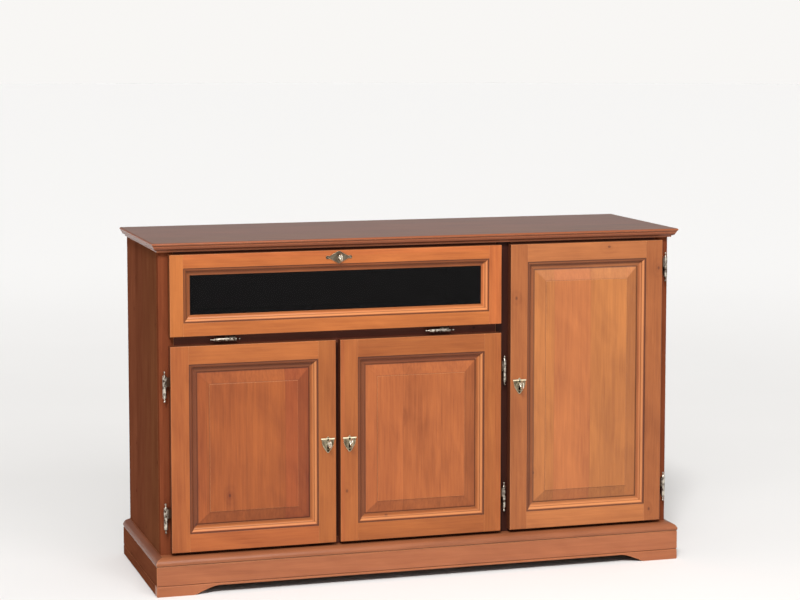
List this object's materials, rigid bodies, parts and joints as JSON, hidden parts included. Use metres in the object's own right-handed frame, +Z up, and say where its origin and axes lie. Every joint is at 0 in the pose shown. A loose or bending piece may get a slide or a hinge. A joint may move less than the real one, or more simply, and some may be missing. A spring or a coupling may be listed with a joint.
{
  "type": "console television cabinet",
  "caption": "Low wooden television cabinet with a glazed drop-down flap over panelled doors, a tall panelled side door with keys, and a moulded bracket plinth.",
  "frame": {"origin": "on the floor under the middle of the whole object's box, keys included", "axes": "+X to the viewer's right along the front, +Y from the doors to the back, +Z up"},
  "size_m": [1.28, 0.45, 0.805],
  "materials": {
    "front_wood": "cherry-stained beech under gloss lacquer",
    "side_wood": "cherry-stained edge-glued boards under gloss lacquer",
    "top_wood": "cherry-stained edge-glued board under gloss lacquer",
    "plinth_wood": "cherry-stained beech under gloss lacquer",
    "inner_wood": "dark-stained wood, satin",
    "back_board": "thin veneered board, matt",
    "glass": "clear float glass",
    "antique_brass": "antique brass, worn bright on the edges",
    "hinge_metal": "nickelled steel with a warm tarnish",
    "steel": "zinc-plated steel"
  },
  "bodies": {
    "carcass": {"top_board": "top_wood", "left_side_panel": "side_wood", "right_side_panel": "side_wood", "front_corner_posts": "front_wood", "inner_posts": "inner_wood", "front_rails": "inner_wood", "bottom_panel": "inner_wood", "partition": "inner_wood", "recorder_shelf": "inner_wood", "left_shelf": "inner_wood", "right_shelves": "inner_wood", "shelf_pins": "steel", "left_back_panel": "back_board", "right_back_panel": "back_board", "plinth_front_board": "plinth_wood", "plinth_side_boards": "plinth_wood", "plinth_front_moulding": "plinth_wood", "plinth_side_mouldings": "plinth_wood", "front_bracket_board": "plinth_wood", "side_runners": "plinth_wood", "frame_hinge_leaves": "hinge_metal", "strike_plates": "steel", "stay_pins": "steel", "back_screws": "steel"},
    "flap": {"flap_stiles": "front_wood", "flap_rails": "front_wood", "flap_glass": "glass", "flap_glazing_beads": "inner_wood", "flap_hinge_leaves": "hinge_metal", "flap_lock_case": "steel", "flap_escutcheon": "antique_brass", "flap_stay_brackets": "steel"},
    "left_door": {"left_door_stiles": "front_wood", "left_door_rails": "front_wood", "left_door_panel": "front_wood", "left_door_hinge_leaves": "hinge_metal", "left_door_lock_case": "steel", "left_door_escutcheon": "antique_brass"},
    "centre_door": {"centre_door_stiles": "front_wood", "centre_door_rails": "front_wood", "centre_door_panel": "front_wood", "centre_door_hinge_leaves": "hinge_metal", "centre_door_lock_case": "steel", "centre_door_escutcheon": "antique_brass"},
    "tall_door": {"tall_door_stiles": "front_wood", "tall_door_rails": "front_wood", "tall_door_panel": "front_wood", "tall_door_hinge_leaves": "hinge_metal", "tall_door_lock_case": "steel", "tall_door_escutcheon": "antique_brass"},
    "flap_key": {"flap_key": "antique_brass"},
    "flap_lock_bolt": {"flap_lock_bolt": "steel"},
    "left_door_key": {"left_door_key": "antique_brass"},
    "left_door_lock_bolt": {"left_door_lock_bolt": "steel"},
    "centre_door_key": {"centre_door_key": "antique_brass"},
    "centre_door_lock_bolt": {"centre_door_lock_bolt": "steel"},
    "tall_door_key": {"tall_door_key": "antique_brass"},
    "tall_door_lock_bolt": {"tall_door_lock_bolt": "steel"},
    "left_stay": {"left_stay_arm": "steel"},
    "right_stay": {"right_stay_arm": "steel"}
  },
  "joints": [
    {"name": "flap_hinge", "type": "hinge", "parent": "carcass", "child": "flap", "pos_m": [-0.2045, -0.188, 0.5813], "axis": [1, 0, 0], "range_deg": [0, 90]},
    {"name": "left_door_hinge", "type": "hinge", "parent": "carcass", "child": "left_door", "pos_m": [-0.612, -0.186, 0.33], "axis": [0, 0, -1], "range_deg": [0, 170]},
    {"name": "centre_door_hinge", "type": "hinge", "parent": "carcass", "child": "centre_door", "pos_m": [0.2025, -0.186, 0.33], "axis": [0, 0, 1], "range_deg": [0, 95]},
    {"name": "tall_door_hinge", "type": "hinge", "parent": "carcass", "child": "tall_door", "pos_m": [0.612, -0.186, 0.44], "axis": [0, 0, 1], "range_deg": [0, 170]},
    {"name": "left_door_key_turn", "type": "hinge", "parent": "left_door", "child": "left_door_key", "pos_m": [-0.233, -0.196, 0.331], "axis": [0, 1, 0], "range_deg": [0, 180]},
    {"name": "left_door_bolt_slide", "type": "slide", "parent": "left_door", "child": "left_door_lock_bolt", "axis": [1, 0, 0], "range_m": [0, 0.008]},
    {"name": "centre_door_key_turn", "type": "hinge", "parent": "centre_door", "child": "centre_door_key", "pos_m": [-0.181, -0.196, 0.331], "axis": [0, 1, 0], "range_deg": [0, 180]},
    {"name": "centre_door_bolt_slide", "type": "slide", "parent": "centre_door", "child": "centre_door_lock_bolt", "axis": [-1, 0, 0], "range_m": [0, 0.008]},
    {"name": "tall_door_key_turn", "type": "hinge", "parent": "tall_door", "child": "tall_door_key", "pos_m": [0.2364, -0.196, 0.446], "axis": [0, 1, 0], "range_deg": [0, 180]},
    {"name": "tall_door_bolt_slide", "type": "slide", "parent": "tall_door", "child": "tall_door_lock_bolt", "axis": [-1, 0, 0], "range_m": [0, 0.008]},
    {"name": "flap_key_turn", "type": "hinge", "parent": "flap", "child": "flap_key", "pos_m": [-0.2055, -0.196, 0.762], "axis": [0, 1, 0], "range_deg": [0, 180]},
    {"name": "flap_bolt_slide", "type": "slide", "parent": "flap", "child": "flap_lock_bolt", "axis": [0, 0, 1], "range_m": [0, 0.008]},
    {"name": "left_stay_pivot", "type": "hinge", "parent": "flap", "child": "left_stay", "pos_m": [-0.585, -0.168, 0.6813], "axis": [1, 0, 0], "range_deg": [-45, 0]},
    {"name": "right_stay_pivot", "type": "hinge", "parent": "flap", "child": "right_stay", "pos_m": [0.181, -0.168, 0.6813], "axis": [1, 0, 0], "range_deg": [-45, 0]}
  ],
  "couplings": [
    {"joint": "left_door_bolt_slide", "follows": "left_door_key_turn", "m_per_rad": 0.002546},
    {"joint": "centre_door_bolt_slide", "follows": "centre_door_key_turn", "m_per_rad": 0.002546},
    {"joint": "tall_door_bolt_slide", "follows": "tall_door_key_turn", "m_per_rad": 0.002546},
    {"joint": "flap_bolt_slide", "follows": "flap_key_turn", "m_per_rad": 0.002546},
    {"joint": "left_stay_pivot", "follows": "flap_hinge", "ratio": -0.5},
    {"joint": "right_stay_pivot", "follows": "flap_hinge", "ratio": -0.5}
  ]
}
